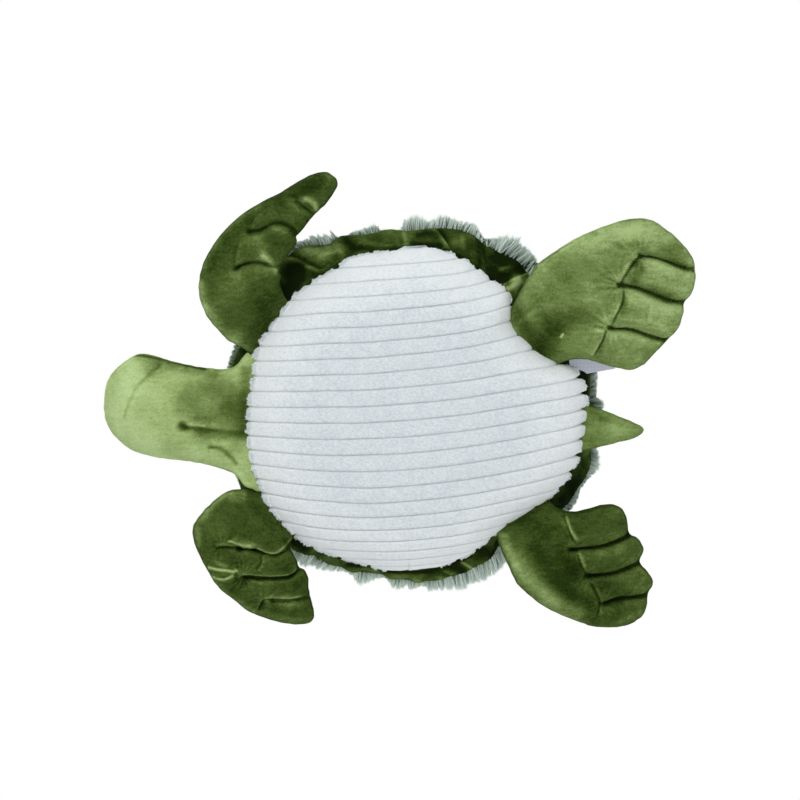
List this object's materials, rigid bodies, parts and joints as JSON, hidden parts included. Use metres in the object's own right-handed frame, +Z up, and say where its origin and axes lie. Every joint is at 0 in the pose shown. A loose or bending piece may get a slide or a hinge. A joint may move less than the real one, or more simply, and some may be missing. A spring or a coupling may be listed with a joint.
{
  "type": "weighted plush turtle",
  "caption": "Stuffed sea turtle with a bead-weighted belly, domed shell, flapping flippers, nodding head and tail.",
  "frame": {"origin": "middle of the flat of the belly, on the surface that the turtle lies on", "axes": "+Z up out of the shell, -Y towards the head, +X towards the turtle's left flippers"},
  "size_m": [0.3841, 0.4941, 0.1335],
  "materials": {
    "velour": "matte",
    "velour_light": "matte",
    "ribbed_plush": "matte",
    "long_fur": "matte",
    "stuffing": "matte",
    "cotton": "matte",
    "beads": "polished",
    "eye_black": "gloss",
    "washer": "matte",
    "label": "satin"
  },
  "bodies": {
    "body": {"belly_panel": "ribbed_plush", "brim_underside": "velour", "shell_cover": "long_fur", "body_stuffing": "stuffing", "bead_bag": "cotton", "glass_beads": "beads", "care_label": "label"},
    "head": {"head_cover": "velour_light", "head_stuffing": "stuffing", "eye_left": "eye_black", "eye_right": "eye_black", "eye_washer_left": "washer", "eye_washer_right": "washer"},
    "front_left": {"front_left_cover": "velour", "front_left_stuffing": "stuffing"},
    "front_right": {"front_right_cover": "velour", "front_right_stuffing": "stuffing"},
    "rear_left": {"rear_left_cover": "velour", "rear_left_stuffing": "stuffing"},
    "rear_right": {"rear_right_cover": "velour", "rear_right_stuffing": "stuffing"},
    "tail": {"tail_cover": "velour_light", "tail_stuffing": "stuffing"}
  },
  "joints": [
    {"name": "head_nod", "type": "hinge", "parent": "body", "child": "head", "pos_m": [-0.01214, -0.15106, 0.0255], "axis": [-0.9987, 0.0506, 0], "range_deg": [-30, 25]},
    {"name": "front_left_flap", "type": "hinge", "parent": "body", "child": "front_left", "pos_m": [0.07105, -0.12594, 0.0285], "axis": [-0.8161, -0.5779, 0], "range_deg": [-40, 35]},
    {"name": "front_right_flap", "type": "hinge", "parent": "body", "child": "front_right", "pos_m": [-0.09094, -0.12178, 0.0285], "axis": [-0.7361, 0.6769, 0], "range_deg": [-40, 35]},
    {"name": "rear_left_flap", "type": "hinge", "parent": "body", "child": "rear_left", "pos_m": [0.06288, 0.0989, 0.0285], "axis": [0.808, -0.5892, 0], "range_deg": [-40, 15]},
    {"name": "rear_right_flap", "type": "hinge", "parent": "body", "child": "rear_right", "pos_m": [-0.09303, 0.09488, 0.0285], "axis": [0.5721, 0.8202, 0], "range_deg": [-40, 30]},
    {"name": "tail_flap", "type": "hinge", "parent": "body", "child": "tail", "pos_m": [-0.01532, 0.14666, 0.0295], "axis": [1, 0, 0], "range_deg": [-35, 40]}
  ]
}
